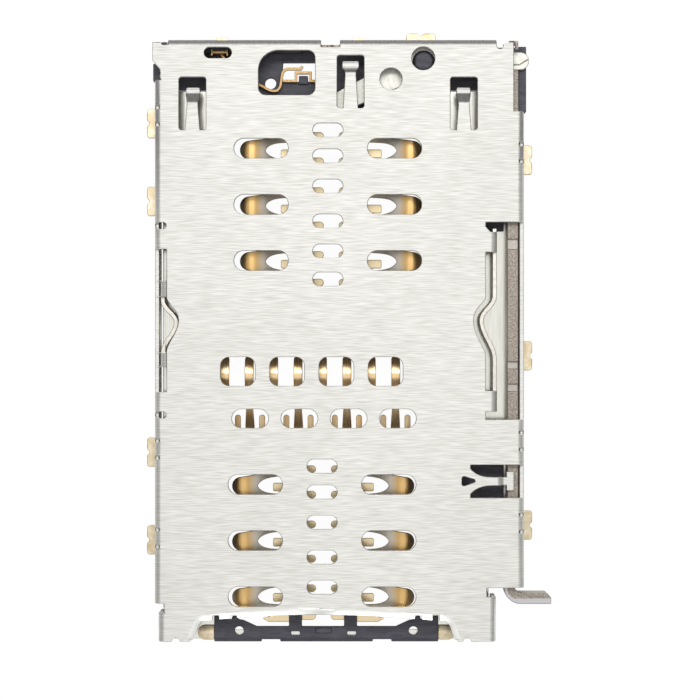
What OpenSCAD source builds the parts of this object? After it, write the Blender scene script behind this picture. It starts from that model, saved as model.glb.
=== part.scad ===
// Tray socket for two small cards and one memory card, for soldering flat to a board.
// Millimetres, +Z up. The board is the plane z = 0 and the tray goes in from -Y.

/* [Cover sheet] */
// Thickness of the folded steel sheet
sheet_t = 0.2; // [0.16:0.01:0.24]
// Height of the cover's top face above the board
cover_h = 1.6; // [1.5:0.05:1.8]
// Length of the cover from its rear wall to its front edge
cover_len = 27.28; // [26.8:0.02:28]
// Inside radius of every fold
fold_r = 0.1; // [0.06:0.01:0.14]
// How far a solder tab stands out from its wall
tab_out = 0.48; // [0.4:0.01:0.7]
// Length of a solder tab along its wall
tab_len = 1.35; // [1:0.05:1.6]

/* [Tray way] */
// Clear width between the left wall and the right guide wall
tray_w = 14.9; // [14.7:0.05:15.3]
// How far a detent leaf bulges into the tray way
detent_bulge = 0.6; // [0.3:0.05:0.7]

/* [Contacts] */
// Distance between contact rows of a small card
sim_pitch = 2.54; // [2.5:0.01:2.6]
// Distance between the two contact crests across a small card
sim_span = 7.62; // [7.4:0.02:7.9]
// Distance between neighbouring memory card contacts
card_pitch = 1.115; // [1.05:0.005:1.15]
// Thickness of the contact strip
contact_t = 0.12; // [0.08:0.01:0.15]
// Height of an unloaded contact crest above the board
crest_h = 0.95; // [0.8:0.05:1.1]
// Length of a contact slot in the cover
slot_l = 2.45; // [2.2:0.05:2.7]
// Width of a contact slot in the cover
slot_w = 0.9; // [0.7:0.05:1.1]

/* [Moulding and floor] */
// Height of the moulding's floor above the board
floor_h = 0.4; // [0.35:0.01:0.45]
// Thickness of the steel floor sheet
base_t = 0.15; // [0.1:0.01:0.2]

/* [Eject drive] */
// Clear width between the guide wall and the outer right wall
rod_way_w = 1.25; // [1.1:0.05:1.5]
// Width of the push rod seen from above
rod_w = 0.5; // [0.4:0.02:0.6]
// Thickness of the eject lever
lever_t = 0.25; // [0.2:0.01:0.3]
// Radius of the lever post
post_r = 0.45; // [0.4:0.01:0.5]
// Gap between pieces that move past each other
running_gap = 0.04; // [0.02:0.01:0.06]

/* [Hidden] */
$fn = 48;

steel = [0.87, 0.87, 0.85];
dark_steel = [0.68, 0.66, 0.63];
gold = [0.88, 0.76, 0.5];
black = [0.16, 0.16, 0.17];

// Sheet levels and the lines of the walls
fold_out = fold_r + sheet_t;
under_z = cover_h - sheet_t;
wall_top = cover_h - fold_out;
wall_low = 0.1;
rear_low = sheet_t + fold_r;
y_rear = cover_len / 2;
y_front = -cover_len / 2;
x_left = -tray_w / 2 - sheet_t;
x_guide = tray_w / 2;
x_right = x_guide + sheet_t + rod_way_w + sheet_t;
mouth_shift = 0.17;
x_mouth_left = x_left + mouth_shift;
x_mouth_right = x_guide + sheet_t + mouth_shift;
y_left_rear = y_rear - 1.85;
y_left_front = y_front + 1.72;
y_mouth_left = y_front + 1.31;
y_right_rear = y_rear - 3.26;
y_right_front = y_front + 2.44;
y_mouth_right = y_front + 2.03;

// Openings along the two side walls
leaf_y = 0.93;
left_slot = [leaf_y - 3.26, leaf_y + 3.21];
right_slot = [leaf_y - 4.51, leaf_y + 4.43];
gill = [y_front + 6.51, y_front + 8.01];
leaf_gap = 0.06;

// Contact fields: centre of the upper, the lower and the memory card field
upper = [0.34, y_rear - 7.48];
lower = [-0.02, y_front + 4.46];
card = [-0.61, lower[1] + 3.14 + 0.17 * cover_len];
tail_up = [0.72, 0.72, 0.32];
tail_down = [0.45, 0.86, 0.95];
tail_w = 0.36;
base_in = sim_span / 2 - 1.61;
base_out = sim_span / 2 - 1.14;
tail_end = sim_span / 2 - 0.34;
slot_dx = sim_span / 2 - 0.79;

// Contact field of the moulding
card_edge = 0.215;
field_wall = 0.185;
field_x = [min(-sim_span / 2 - 1.14, card_x(0) - card_edge - field_wall), sim_span / 2 + 1.39];
field_front = y_front + 1.42;
field_rear = y_rear - 3.6;
deck_y = y_rear - 2.14;
bar_x = [-5.03, 5.26];
bar_front = y_front - 0.18;
bar_rear = y_front + 0.86;
bump_x = [bar_x[0] + 0.16, bar_x[0] + 0.96, bar_x[1] - 0.96, bar_x[1] - 0.16];

// Eject drive
pivot = [4.56, y_rear - 0.94];
lever_z = floor_h + 0.34;
lever_top = lever_z + lever_t;
tip_r = 0.4;
lever_tip = [x_right - 0.13, pivot[1] + 0.04];
lever_end = [pivot[0] - 4.35, pivot[1] - 2.09];
rod_x = x_right - sheet_t - running_gap - rod_w / 2;
rod_low = base_t + 0.02;
rod_top = lever_top + 0.2;
rod_end = lever_tip[1] - tip_r - 0.07;
hook_y = y_right_front - 0.53;

function unit(v) = v / norm(v);
function turn(v) = [-v[1], v[0]];

// Sideways offset of point i of a path, mitred at its corners
function side(p, i) =
    let (n = len(p) - 1)
    let (a = turn(unit(p[max(i, 1)] - p[max(i, 1) - 1])))
    let (b = turn(unit(p[min(i, n - 1) + 1] - p[min(i, n - 1)])))
    let (m = unit(a + b))
    m / (m * a);

// Outline of a strip of width w that follows a path
function strip(p, w) = concat(
    [for (i = [0 : len(p) - 1]) p[i] + side(p, i) * w / 2],
    [for (i = [len(p) - 1 : -1 : 0]) p[i] - side(p, i) * w / 2]
);

// Points of an arc, and of a curve with one control point
function arc(c, r, a, b, n = 8) =
    [for (i = [0 : n]) c + r * [cos(a + (b - a) * i / n), sin(a + (b - a) * i / n)]];
function curve(p, q, r, n = 6) =
    [for (i = [0 : n]) let (t = i / n) p * (1 - t) * (1 - t) + 2 * q * t * (1 - t) + r * t * t];

// Smooth step from 0 to 1
function ease(t) = (1 - cos(180 * t)) / 2;

module stadium(l, h) {
    square([l - h, h], center = true);
    for (s = [-1, 1])
        translate([s * (l - h) / 2, 0])
            circle(d = h);
}

module rounded(w, h, r) {
    square([w - 2 * r, h], center = true);
    square([w, h - 2 * r], center = true);
    for (sx = [-1, 1], sy = [-1, 1])
        translate([sx * (w / 2 - r), sy * (h / 2 - r)])
            circle(r);
}

// Box between two corners
module span(a, b) {
    translate(a)
        cube(b - a);
}

// Flat shape between two heights
module slab(low, high) {
    translate([0, 0, low])
        linear_extrude(high - low)
            children();
}

// Side profile in y and z, spread along x
module spread(w) {
    rotate([90, 0, 90])
        linear_extrude(w, center = true)
            children();
}

// Cover

// Quarter fold down along an edge that starts at the origin and runs to -y
module fold(l) {
    rotate([90, 0, 0])
        linear_extrude(l)
            translate([0, -fold_out])
                intersection() {
                    difference() {
                        circle(fold_out);
                        circle(fold_r);
                    }
                    square(fold_out);
                }
}

// Solder tab whose wall face is at x = 0, centred on y = 0
module tab() {
    intersection() {
        rotate([90, 0, 0])
            linear_extrude(tab_len, center = true) {
                translate([fold_r, sheet_t + fold_r])
                    intersection() {
                        difference() {
                            circle(fold_out);
                            circle(fold_r);
                        }
                        translate([-fold_out, -fold_out])
                            square(fold_out);
                    }
                translate([fold_r, 0])
                    square([tab_out - fold_r, sheet_t]);
            }
        slab(0, rear_low)
            difference() {
                translate([tab_out - 0.5, 0])
                    rounded(1, tab_len, 0.14);
                translate([tab_out + 0.03, 0])
                    circle(0.13);
            }
    }
}

left_tabs = [y_rear - 3.66, upper[1] + 0.24, lower[1] + 4.05, lower[1] + 0.02];
right_tabs = [y_right_rear - 2.08, -0.7, y_right_front + 2.72];
rear_tab = 4.46;

// Upright side wall with its outer face at x = 0, cut away above its tabs
module side_wall(rear, front, tabs) {
    difference() {
        span([-sheet_t, front, wall_low], [0, rear, wall_top]);
        for (y = tabs)
            translate([-sheet_t / 2, y, 0])
                cube([1, tab_len + 0.16, 2 * rear_low], center = true);
    }
    for (y = tabs)
        translate([0, y, 0])
            tab();
}

// Path of a detent leaf between two ends: straight, with a bulge towards -x that rises from up to its
// crest at mid and falls away at down
function leaf_path(ends, size, up, mid, down) = concat(
    [[0, ends[0]]],
    [for (i = [0 : 8]) [-size * ease(i / 8), up + (mid - up) * i / 8]],
    [for (i = [1 : 10]) [-size * ease(1 - i / 10), mid + (down - mid) * i / 10]],
    [[0, ends[1]]]
);

left_leaf = [leaf_y + 1.76, leaf_y - 2.13];
right_leaf = [leaf_y + 4.16, leaf_y - 4.16];
left_up = leaf_y + 0.85;
left_mid = leaf_y - 0.1;
left_down = leaf_y - 1.5;
right_up = leaf_y + 1.05;
right_down = leaf_y - 1.8;
left_bay = [leaf_y + 1.47, leaf_y - 1.83];
right_bay = [leaf_y + 2.97, leaf_y - 3.13];

// The right leaf stands back from the edge of its window, on roots that reach out to it
leaf_back = 0.22;
root_x = x_guide + leaf_back - fold_r;
rear_root = [leaf_y + 3.99, leaf_y + 3.07];
front_root = [leaf_y - 3.21, right_leaf[1]];

// Opening in the plate that leaves a bulge free, wider than the leaf by a margin
module leaf_opening(ends, path, margin) {
    polygon(concat(
        [[0, ends[0]]],
        [for (i = [0 : len(path) - 1]) path[i] - side(path, i) * (sheet_t / 2 + margin)],
        [[0, ends[1]]]
    ));
}

// Tongue in a window, root at the origin, pointing to +y; its wide head lies drop below the sheet
tongue_win = [1.22, 2.4];
module tongue(from, to, l, head, drop) {
    z = under_z + sheet_t / 2;
    low = z - drop;
    slope = [for (i = [0 : 6]) [from + (to - from) * i / 6, z - drop * i / 6]];
    intersection() {
        spread(1.2)
            polygon(strip(concat([[0, z]], slope, [[l - 0.1, low], [l, low + 0.03]]), sheet_t));
        slab(0, cover_h + 1)
            polygon(concat(
                [[-0.34, 0], [-0.25, from - 0.05], [-0.26, from + 0.12], [-head, to - 0.08]],
                arc([-head + 0.1, l - 0.12], 0.1, 180, 90, 4),
                arc([head - 0.1, l - 0.12], 0.1, 90, 0, 4),
                [[head, to - 0.08], [0.26, from + 0.12], [0.25, from - 0.05], [0.34, 0]]
            ));
    }
}

// Where the three tongues are rooted
tongue_drop = max(0.05, under_z - lever_top - 0.06);
tongue_a = [x_left + 1.72, y_rear - 4.11];
tongue_b = [1.23, y_rear - 3.12];
tongue_c = [x_guide - 1.09, y_rear - 4.11];

// Hold-down tongue over the push rod, rooted at x = 0 and pointing to +x
hold_x = x_right - 2.44;
hold_y = (gill[0] + gill[1]) / 2;
hold_l = 1.98;
module hold_down() {
    z = under_z + sheet_t / 2;
    drop = max(0.04, under_z - rod_top - running_gap);
    slope = [for (i = [0 : 8]) [1.2 + 0.3 * i / 8, z - drop * ease(i / 8)]];
    intersection() {
        rotate([90, 0, 0])
            linear_extrude(2, center = true)
                polygon(strip(concat([[0, z]], slope, [[hold_l, z - drop]]), sheet_t));
        slab(0, cover_h + 1)
            polygon(concat(
                [[0, 0.6]],
                curve([0.05, 0.52], [0.3, 0.26], [0.75, 0.2], 5),
                [[1.64, 0.17], [1.64, 0.42], [hold_l, 0.42], [hold_l, -0.42], [1.64, -0.42], [1.64, -0.17]],
                curve([0.75, -0.2], [0.3, -0.26], [0.05, -0.52], 5),
                [[0, -0.6]]
            ));
    }
}

// Front edge of the cover: the mouth is cut back in a shallow arch
mouth = concat(
    [[-6.04, y_front], [-5.76, y_front + 0.68]],
    curve([-5.7, y_front + 0.78], [-5.62, y_front + 0.95], [-5.45, y_front + 0.97], 4),
    curve([-5.1, y_front + 0.98], [-0.4, y_front + 1.5], [5.2, y_front + 0.95], 12),
    curve([5.45, y_front + 0.97], [5.7, y_front + 0.92], [5.84, y_front + 0.66], 4),
    [[6.08, y_front]]
);
lip_w = 0.26;
lip_rise = 0.09;

// Flat outline of the top plate
module plate_outline() {
    polygon(concat(
        [[x_mouth_left + fold_out, y_front]],
        mouth,
        [
            [x_mouth_right - fold_out, y_front],
            [x_mouth_right - fold_out, y_mouth_right],
            [x_guide - 0.05, y_mouth_right],
            [x_guide - 0.05, y_right_front],
            [x_right - fold_out, y_right_front],
            [x_right - fold_out, y_right_rear],
            [x_right - 0.48, y_right_rear],
            [x_right - 0.48, y_rear - 0.16],
            [x_right - 0.7, y_rear - 0.16],
            [x_right - 0.97, y_rear - 0.22],
            [x_right - 0.97, y_rear - fold_out],
            [x_left + 0.63, y_rear - fold_out],
            [x_left + 0.63, y_rear - 0.13],
            [x_left - 0.1, y_rear - 0.13],
            [x_left - 0.1, y_rear - 0.95],
            [x_left + 0.11, y_rear - 1.2],
            [x_left + 0.24, y_rear - 1.36],
            [x_left + 0.27, y_rear - 1.52],
            [x_left + 0.25, y_rear - 1.7],
            [x_left + fold_out, y_left_rear],
            [x_left + fold_out, y_left_front],
            [x_left + 0.44, y_left_front],
            [x_left + 0.44, y_mouth_left],
            [x_mouth_left + fold_out, y_mouth_left]
        ]
    ));
}

module sim_slots(c, rows) {
    for (s = [-1, 1], r = [-1 : 1])
        translate([c[0] + s * slot_dx, c[1] + r * sim_pitch])
            stadium(slot_l, slot_w);
    for (r = rows)
        translate([c[0], c[1] + tail_y(r) + 0.11])
            stadium(1.36, 0.62);
}

// Offset of tail k of a field, counted from its rear end
function tail_y(k) =
    let (r = floor(k / 2))
    (1 - r) * sim_pitch + (k % 2 == 0 ? tail_up[r] : -tail_down[r]);

// Window beside the push rod, round the roots of the leaf
module right_window() {
    edge = x_guide - fold_r;
    difference() {
        translate([edge, right_slot[0]])
            square([x_right - fold_out - edge, right_slot[1] - right_slot[0]]);
        polygon([
            [edge - 0.1, rear_root[0] + 0.3], [edge, rear_root[0] + 0.24], [root_x, rear_root[0]],
            [root_x, rear_root[1]], [edge - 0.1, rear_root[1]]
        ]);
        translate([edge - 0.1, front_root[1]])
            square([root_x - edge + 0.1, front_root[0] - front_root[1]]);
    }
    translate([x_guide + leaf_back + sheet_t / 2, 0])
        leaf_opening(right_bay, leaf_path(right_bay, detent_bulge, right_up, leaf_y, right_down), 0.27);
}

module plate_openings() {
    sim_slots(upper + [-0.14, 0], [0 : 5]);
    sim_slots(lower + [-0.04, 0.12], [0 : 4]);
    for (k = [0 : 3]) {
        translate([card[0] + 0.08 + (k - 1.5) * 2 * card_pitch, card[1]])
            rounded(1.56, 1.31, 0.4);
        translate([card[0] + 0.08 + (k - 1.25) * 2 * card_pitch, card[1] - 2.13])
            stadium(1.65, 0.86);
    }
    for (p = [tongue_a, tongue_b, tongue_c])
        translate([p[0], p[1] + tongue_win[1] / 2])
            rounded(tongue_win[0], tongue_win[1], 0.13);
    translate([0, y_rear])
        polygon(concat(
            arc([-2.04, -1.4], 0.9, 180, 90, 12),
            arc([-0.72, -0.84], 0.34, 90, 0),
            arc([-0.72, -2.19], 0.34, 0, -90),
            arc([-2.6, -2.19], 0.34, -90, -180)
        ));
    translate([-4.78, y_rear - 0.61])
        stadium(1.24, 0.5);
    translate([3.06, y_rear - 1.8])
        circle(0.5);
    translate(pivot + [-0.04, 0.065])
        circle(post_r + 0.075);
    translate([x_left + fold_out, left_slot[0]])
        square([0.25, left_slot[1] - left_slot[0]]);
    translate([x_left + sheet_t + leaf_gap + sheet_t / 2, 0])
        mirror([1, 0])
            leaf_opening(
                left_bay, leaf_path(left_bay, detent_bulge - 0.05, right_up, leaf_y, left_down), 0.08
            );
    right_window();
    translate([hold_x, gill[0]])
        square([x_right - fold_out - hold_x, gill[1] - gill[0]]);
    for (x = [x_mouth_left + 0.8, x_mouth_right - 1.31])
        translate([x, y_front])
            circle(0.18);
    translate([-0.11, y_rear - fold_out - 0.06])
        square([0.86, 1]);
    for (p = [[x_left + 0.45, y_rear - 0.13], [x_right - 1.1, y_rear - fold_out]])
        translate(p)
            circle(0.14);
}

// Sheared stubs of the strip that carried the cover: a ledge in the rear gap and a bent corner
module sheared_stubs() {
    slab(under_z, cover_h - 0.07)
        translate([-0.11, y_rear - 0.42])
            square([0.86, 0.17]);
    slab(under_z, cover_h - 0.06)
        translate([x_right, y_rear])
            polygon([
                [-0.7, -0.06], [-0.27, -0.06], [-0.27, -0.45], [-0.42, -0.45], [-0.42, -0.29], [-0.7, -0.29]
            ]);
}

module cover_shell() {
    color(steel)
        difference() {
            union() {
                slab(under_z, cover_h)
                    difference() {
                        plate_outline();
                        plate_openings();
                    }
                slab(under_z + lip_rise, cover_h + lip_rise)
                    polygon(strip([for (p = mouth) p + [0, lip_w / 2]], lip_w));
                sheared_stubs();
                cover_walls();
                cover_springs();
            }
            cover_notches();
        }
}

module cover_walls() {
    // left side
    translate([x_left, 0, 0])
        mirror([1, 0, 0])
            side_wall(y_left_rear, y_left_front, left_tabs);
    for (s = [[y_left_rear, left_slot[1]], [left_slot[0], y_left_front]])
        translate([x_left + fold_out, s[0], cover_h])
            mirror([1, 0, 0])
                fold(s[0] - s[1]);
    // right side
    translate([x_right, 0, 0])
        side_wall(y_right_rear, y_right_front, right_tabs);
    for (s = [[y_right_rear, right_slot[1]], [right_slot[0], gill[1]], [gill[0], y_right_front]])
        translate([x_right - fold_out, s[0], cover_h])
            fold(s[0] - s[1]);
    // mouth
    translate([x_mouth_left, 0, 0])
        mirror([1, 0, 0])
            side_wall(y_mouth_left, y_front, []);
    translate([x_mouth_left + fold_out, y_mouth_left, cover_h])
        mirror([1, 0, 0])
            fold(y_mouth_left - y_front);
    translate([x_mouth_right, 0, 0])
        side_wall(y_mouth_right, y_front, []);
    translate([x_mouth_right - fold_out, y_mouth_right, cover_h])
        fold(y_mouth_right - y_front);
    // rear, in two lengths
    for (s = [[x_left + 0.62, -0.11], [0.75, x_right - 1.25]]) {
        translate([s[0], y_rear - fold_out, cover_h])
            rotate([0, 0, 90])
                fold(s[1] - s[0]);
        span([s[0], y_rear - sheet_t, rear_low], [s[1], y_rear, wall_top]);
    }
    translate([rear_tab, y_rear, 0])
        rotate([0, 0, 90])
            tab();
}

module cover_springs() {
    for (p = [tongue_a, tongue_c])
        translate(p)
            tongue(1.18, 1.7, 1.98, 0.33, tongue_drop);
    translate(tongue_b)
        tongue(1.55, 1.9, 2.19, 0.39, tongue_drop);
    translate([hold_x, hold_y, 0])
        hold_down();
    // left detent leaf on its two roots
    translate([x_left + sheet_t + leaf_gap + sheet_t / 2, 0, 0])
        mirror([1, 0, 0])
            slab(floor_h + 0.04, wall_top)
                polygon(strip(leaf_path(left_leaf, detent_bulge, left_up, left_mid, left_down), sheet_t));
    for (s = [[left_leaf[0], leaf_y + 1.05], [left_down, left_leaf[1]]])
        translate([x_left + sheet_t + leaf_gap + fold_out, s[0], cover_h])
            mirror([1, 0, 0])
                fold(s[0] - s[1]);
    // right detent leaf, part of the tray guide
    translate([x_guide + leaf_back + sheet_t / 2, 0, 0])
        slab(floor_h + 0.04, wall_top)
            polygon(strip(leaf_path(right_leaf, detent_bulge, right_up, leaf_y, right_down), sheet_t));
    for (s = [rear_root, front_root])
        translate([root_x, s[0], cover_h])
            fold(s[0] - s[1]);
}

// Relief notches in the folds, and the hole in the root of the hold-down tongue
left_relief = [left_tabs[0], left_tabs[2], left_tabs[3]];
right_relief = [right_tabs[0], gill[1] + 0.87, right_tabs[2]];
module cover_notches() {
    for (y = left_relief, d = [0.6, -0.17])
        translate([x_left + 0.13, y + d, wall_top])
            cylinder(h = 1, r = 0.11);
    for (y = right_relief, d = [0.6, -0.17])
        translate([x_right - 0.13, y + d, wall_top])
            cylinder(h = 1, r = 0.11);
    for (y = [left_slot[1] + 1.06, left_slot[0] - 1.04])
        translate([x_left + 0.28, y, wall_top])
            slab(0, 1)
                stadium(0.5, 0.3);
    translate([hold_x, hold_y, 0])
        slab(under_z - 0.1, cover_h + 0.1)
            polygon(concat(
                arc([-0.29, 0.13], 0.1, 180, 70, 4),
                arc([0.12, 0.02], 0.09, 60, -60, 4),
                arc([-0.29, -0.11], 0.1, -75, -180, 4)
            ));
    // slots in the lip over the bumps of the front bar
    for (x = bump_x)
        span([x - 0.15, y_front - 1, under_z - 0.1], [x + 0.15, y_front + 1.2, cover_h + 1]);
}

// Floor sheet

module base_plate() {
    color(steel)
        slab(0, base_t)
            difference() {
                polygon([
                    [x_left + 0.42, y_mouth_left + 0.06],
                    [x_left + 0.42, bar_front + 0.12],
                    [x_mouth_right - sheet_t - 0.04, bar_front + 0.12],
                    [x_mouth_right - sheet_t - 0.04, y_mouth_right],
                    [x_mouth_right - sheet_t - 0.04, y_right_front + 0.1],
                    [x_right - sheet_t - 0.04, y_right_front + 0.1],
                    [x_right - sheet_t - 0.04, y_right_rear - 0.04],
                    [x_right - sheet_t - 0.04, deck_y - 0.02],
                    [x_left + 0.25, deck_y - 0.02],
                    [x_left + 0.25, y_mouth_left + 0.06]
                ]);
                translate([field_x[0] - 0.02, bar_rear - 0.5])
                    square([field_x[1] - field_x[0] + 0.04, deck_y - bar_rear + 1]);
            }
}

// Moulding

// Openings through the floor of one field
module field_windows(c) {
    for (s = [-1, 1], r = [-1 : 1])
        translate([c[0] + s * (sim_span / 2 + (0.74 - base_in) / 2), c[1] + r * sim_pitch])
            square([base_in + 0.74, 1.9], center = true);
    translate(c)
        translate([-0.86, -sim_pitch - 1.22])
            square([1.72, 2 * sim_pitch + 2.67]);
}

module housing_floor() {
    difference() {
        union() {
            translate([field_x[0], field_front])
                square([field_x[1] - field_x[0], field_rear - field_front]);
            translate([field_x[0], field_rear - 0.1])
                square([field_x[1] - field_x[0], deck_y - field_rear + 0.1]);
        }
        field_windows(upper);
        field_windows(lower);
        translate([card[0] - 3.5 * card_pitch - 0.45, card[1] - 2.75])
            square([8 * card_pitch + 0.5, 3.85]);
    }
}

module front_bar() {
    difference() {
        union() {
            translate([bar_x[0], bar_front])
                square([bar_x[1] - bar_x[0], bar_rear - bar_front - 0.33]);
            for (s = [[bar_x[0], 1], [bar_x[1], -1]])
                translate([s[0], bar_rear - 0.35])
                    mirror([s[1] < 0 ? 1 : 0, 0])
                        polygon([
                            [0, 0], [2, 0], [1.35, 0.3], [1.12, 0.34], [1.02, 0.5], [0.84, 0.5],
                            [0.8, 0.34], [0.28, 0.34], [0.28, 0.5], [0, 0.5]
                        ]);
            for (x = [-1.6, 0.93])
                translate([x, bar_rear - 0.4])
                    square([0.6, field_front - bar_rear + 0.5]);
        }
        for (x = [bar_x[0] + 1.15, bar_x[1] - 1.15])
            translate([x, bar_rear - 0.54])
                circle(0.21);
        for (x = [-1.5, 1.08])
            translate([x, bar_front + 0.28])
                square([0.4, 0.2]);
        for (x = [-2.85, 2.25])
            translate([x, bar_front - 0.01])
                square([0.85, 0.12]);
    }
}

// Rear block: a low deck, a tall wall on the left and the end block at the right
module rear_block() {
    right = x_right - sheet_t - rod_w - 2 * running_gap - 0.04;
    slab(0, floor_h)
        difference() {
            translate([x_left + 0.35, deck_y])
                square([right - x_left - 0.35, y_rear - 0.24 - deck_y]);
            translate([-1.87, y_rear - 1.77])
                square([1.49, 0.89]);
            translate([-2.44, y_rear - 1.84])
                circle(0.26);
        }
    difference() {
        span([x_left + 0.65, y_rear - 0.5, 0], [-1, y_rear - 0.24, under_z - 0.03]);
        span([-5.45, y_rear - 0.6, switch_top + 0.2], [-4.05, y_rear, under_z]);
    }
    span([x_left + 0.3, y_rear - 0.5, 0], [x_left + 0.57, y_rear - 0.1, under_z - 0.03]);
    span([x_left - 0.15, y_left_rear + 0.06, 0], [x_left + 0.4, y_rear - 0.98, lever_z - 0.06]);
    span([right - 0.6, y_rear - 0.7, 0], [x_right + 0.16, y_rear - 0.24, lever_z - 0.06]);
    span([x_right - 0.2, y_right_rear + 0.06, 0], [x_right + 0.16, y_rear - 0.2, lever_z - 0.06]);
    // island inside the switch terminal
    slab(0, floor_h + 0.12)
        translate([-1.14, y_rear - 1.9])
            square([0.42, 0.39]);
    // lever boss and post
    translate([pivot[0], pivot[1], 0]) {
        cylinder(h = lever_z - 0.02, r = post_r + 0.24);
        cylinder(h = lever_top + 0.14, r = post_r);
        translate([0, 0, lever_top + 0.14])
            cylinder(h = 0.08, r1 = post_r, r2 = post_r - 0.12);
    }
}

module base_housing() {
    color(black)
        difference() {
            union() {
                slab(0, floor_h)
                    housing_floor();
                slab(base_t, floor_h)
                    front_bar();
                // lugs over the floor sheet
                span(
                    [field_x[1] - 0.2, gill[0] - 0.15, base_t],
                    [rod_x - rod_w / 2 - 0.1, gill[1] + 0.15, floor_h]
                );
                span(
                    [field_x[1] - 0.2, right_slot[1] - 0.34, base_t],
                    [rod_x - rod_w / 2 - 0.1, right_slot[1] + 0.14, floor_h]
                );
                rear_block();
            }
            for (k = [0 : 5]) {
                sim_seat(upper, k);
                sim_seat(lower, k);
            }
            for (k = [0 : 7])
                translate([card_x(k), card[1], 0])
                    slab(-1, contact_t)
                        card_base_2d();
            detect_spring_tail();
            detect_terminal_tail();
            translate([(bar_x[0] + bar_x[1]) / 2, 0, 0])
                spread(bar_x[1] - bar_x[0] + 1)
                    polygon([
                        [bar_front - 0.1, floor_h - 0.19], [bar_front + 0.25, floor_h + 0.01],
                        [bar_front - 0.1, floor_h + 0.01]
                    ]);
            span([-0.38, y_front + 0.23, floor_h - 0.03], [0.35, y_front + 0.46, floor_h + 0.1]);
        }
}

// Contacts of the small cards

// Flat base with its two tails, for row r counted from the rear; the crest is at x = 0
module sim_base_2d(r) {
    low = -max(0.8, tail_down[r] + tail_w / 2);
    high = max(0.8, tail_up[r] + tail_w / 2);
    translate([base_in, low])
        square([base_out - base_in, high - low]);
    for (y = [tail_up[r], -tail_down[r]])
        translate([base_out - 0.1, y - tail_w / 2]) {
            square([tail_end - base_out + 0.1 - tail_w / 2, tail_w]);
            translate([tail_end - base_out + 0.1 - tail_w / 2, tail_w / 2])
                circle(tail_w / 2);
        }
    if (r == 2)
        polygon([[base_in + 0.1, -0.7], [1, -1.06], [1.3, -1.22], [base_in + 0.1, -1.22]]);
}

// Sprung part seen from above
module sim_arm_2d() {
    difference() {
        polygon(concat(
            [[base_in + 0.1, 0.8], [0.86, 0.55]],
            arc([0.06, 0], 0.42, 90, 270, 12),
            [[0.86, -0.55], [base_in + 0.1, -0.8]]
        ));
        for (s = [-1, 1])
            scale([1, s])
                polygon(concat(
                    [[base_in, -0.01], [0.82, -0.01]],
                    curve([0.82, 0.02], [0.95, 0.32], [1.6, 0.38], 6),
                    [[base_in, 0.43]]
                ));
    }
}

module sim_contact(r) {
    h = crest_h - contact_t / 2;
    z = contact_t / 2;
    path = concat(
        [[base_in + 0.1, z]],
        curve([base_in - 0.02, z], [base_in - 0.2, z], [base_in - 0.4, z + 0.1], 5),
        curve([0.5, h - 0.14], [0.1, h + 0.09], [-0.36, h - 0.27], 10)
    );
    slab(0, contact_t)
        sim_base_2d(r);
    slab(0, contact_t)
        translate([base_in - 0.3, -0.1])
            rounded(0.82, 0.4, 0.09);
    intersection() {
        rotate([90, 0, 0])
            linear_extrude(3, center = true)
                polygon(strip(path, contact_t));
        slab(-0.1, crest_h + 0.1)
            sim_arm_2d();
    }
}

// Contact k of a field: 0 to 2 on the left from the rear, 3 to 5 on the right
module sim_place(c, k) {
    translate([c[0], c[1] + (1 - k % 3) * sim_pitch, 0])
        mirror([k < 3 ? 0 : 1, 0, 0])
            translate([-sim_span / 2, 0, 0])
                children();
}

module sim_seat(c, k) {
    sim_place(c, k)
        slab(-1, contact_t)
            sim_base_2d(k % 3);
}

module sim_piece(c, k) {
    color(gold)
        sim_place(c, k)
            sim_contact(k % 3);
}

module upper_left_contact_1() {
    sim_piece(upper, 0);
}

module upper_left_contact_2() {
    sim_piece(upper, 1);
}

module upper_left_contact_3() {
    sim_piece(upper, 2);
}

module upper_right_contact_1() {
    sim_piece(upper, 3);
}

module upper_right_contact_2() {
    sim_piece(upper, 4);
}

module upper_right_contact_3() {
    sim_piece(upper, 5);
}

module lower_left_contact_1() {
    sim_piece(lower, 0);
}

module lower_left_contact_2() {
    sim_piece(lower, 1);
}

module lower_left_contact_3() {
    sim_piece(lower, 2);
}

module lower_right_contact_1() {
    sim_piece(lower, 3);
}

module lower_right_contact_2() {
    sim_piece(lower, 4);
}

module lower_right_contact_3() {
    sim_piece(lower, 5);
}

// Contacts of the memory card

function card_x(k) = card[0] + (k - 3.5) * card_pitch;

// Flat base and its side tail; the crest is at y = 0
module card_base_2d() {
    translate([-card_edge, -3.3])
        square([card_pitch / 2 + card_edge + 0.14, 0.55]);
    translate([card_pitch / 2 - 0.14, -2.9])
        square([0.28, 0.76]);
    translate([card_pitch / 2, -2.14])
        circle(0.14);
}

module card_piece(k) {
    h = crest_h - contact_t / 2;
    z = contact_t / 2;
    path = concat(
        [[-2.95, z]],
        curve([-2.73, z], [-2.55, z], [-2.35, z + 0.09], 5),
        curve([-0.5, h - 0.12], [-0.1, h + 0.09], [0.5, h - 0.3], 10),
        [[0.76, h - 0.46]]
    );
    color(gold)
        translate([card_x(k), card[1], 0]) {
            slab(0, contact_t)
                card_base_2d();
            intersection() {
                spread(1)
                    polygon(strip(path, contact_t));
                slab(-0.1, crest_h + 0.1)
                    polygon([
                        [-0.215, -3], [-0.215, -2.5], [-0.16, -1.65], [-0.205, -0.6], [-0.205, 0.55],
                        [-0.12, 0.78], [0.12, 0.78], [0.205, 0.55], [0.205, -0.6], [0.16, -1.65],
                        [0.215, -2.5], [0.215, -3]
                    ]);
            }
        }
}

module card_contact_1() {
    card_piece(0);
}

module card_contact_2() {
    card_piece(1);
}

module card_contact_3() {
    card_piece(2);
}

module card_contact_4() {
    card_piece(3);
}

module card_contact_5() {
    card_piece(4);
}

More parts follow.
